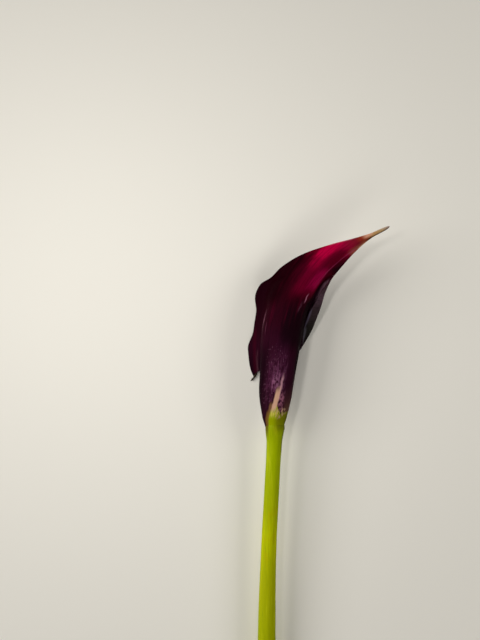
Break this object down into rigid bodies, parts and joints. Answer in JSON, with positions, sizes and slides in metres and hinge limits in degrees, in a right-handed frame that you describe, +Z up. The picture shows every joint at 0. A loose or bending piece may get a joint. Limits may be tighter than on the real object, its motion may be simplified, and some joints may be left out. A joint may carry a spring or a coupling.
{
  "type": "calla lily flower",
  "caption": "Cut calla lily lying on its side: a rolled funnel-shaped spathe with flared margins and a long tip, on a smooth round stem, with a finger-like spadix inside.",
  "frame": {"origin": "centre of the bounding box in plan, on the surface that the flower lies on", "axes": "+Y along the flower, from the cut end of the stem towards the bloom; +Z up from the surface, through the side of the bloom that the picture shows; +X towards the side that the tip bends to"},
  "size_m": [0.0734, 0.2954, 0.0314],
  "materials": {
    "spathe": "satin",
    "stem": "satin",
    "spadix": "matte"
  },
  "bodies": {
    "root": {"spathe": "spathe", "stem": "stem", "spadix": "spadix"}
  },
  "joints": []
}
